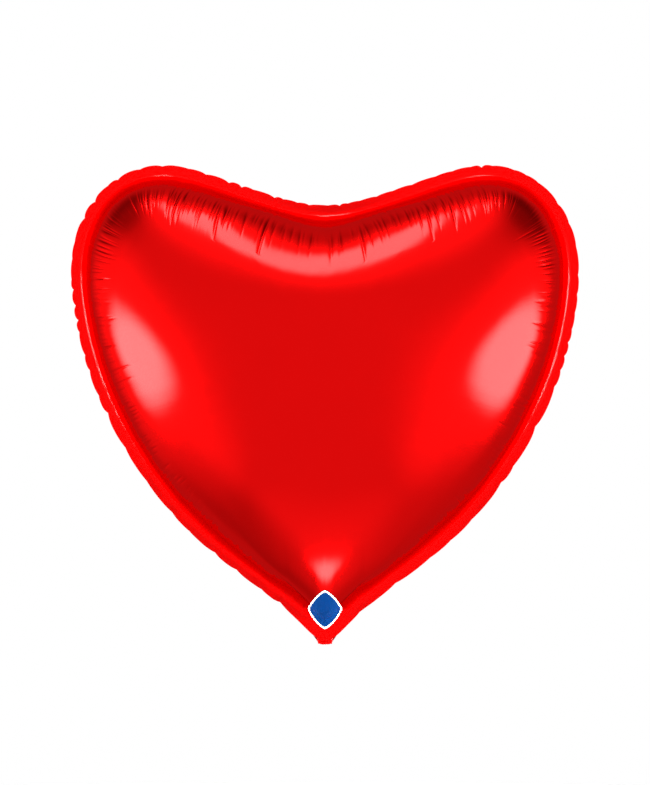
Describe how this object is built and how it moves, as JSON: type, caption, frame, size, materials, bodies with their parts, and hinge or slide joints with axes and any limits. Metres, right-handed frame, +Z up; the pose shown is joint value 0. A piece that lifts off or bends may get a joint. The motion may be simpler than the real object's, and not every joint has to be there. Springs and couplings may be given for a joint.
{
  "type": "heart-shaped foil balloon",
  "caption": "Filled heart-shaped foil balloon with a flat welded rim, a flat valve at its tip, and an inflation tail with lips, folded up behind it.",
  "frame": {"origin": "middle of the crease under the heart's tip, where the tail folds, and where the neck is tied", "axes": "+Z up from the tip to the cleft, front face towards -Y, +X to the right seen from the front"},
  "size_m": [0.3792, 0.191, 0.358],
  "materials": {
    "red_film": "mirror-like metallised film",
    "rear_red_film": "mirror-like metallised film",
    "welded_film": "flat heat-welded film",
    "valve_film": "thin milky plastic film"
  },
  "bodies": {
    "balloon": {"front_panel": "red_film", "rear_panel": "rear_red_film", "rim_seal": "welded_film", "neck_crease": "red_film", "valve_front_ply": "valve_film", "valve_rear_ply": "valve_film", "valve_right_weld": "valve_film", "valve_left_weld": "valve_film"},
    "tail": {"tail_front_film": "red_film", "tail_rear_film": "red_film", "tail_right_seal": "welded_film", "tail_left_seal": "welded_film", "tail_valve_front_ply": "valve_film", "tail_valve_rear_ply": "valve_film", "tail_valve_right_weld": "valve_film", "tail_valve_left_weld": "valve_film"},
    "front_lip": {"front_lip": "red_film"},
    "rear_lip": {"rear_lip": "red_film"}
  },
  "joints": [
    {"name": "tail_fold", "type": "hinge", "parent": "balloon", "child": "tail", "pos_m": [0, 0, 0], "axis": [-1, 0, 0], "range_deg": [0, 232]},
    {"name": "front_lip_open", "type": "hinge", "parent": "tail", "child": "front_lip", "pos_m": [0, 0.03269, 0.01544], "axis": [-1, 0, 0], "range_deg": [0, 50]},
    {"name": "rear_lip_open", "type": "hinge", "parent": "tail", "child": "rear_lip", "pos_m": [0, 0.03229, 0.01625], "axis": [1, 0, 0], "range_deg": [0, 50]}
  ]
}
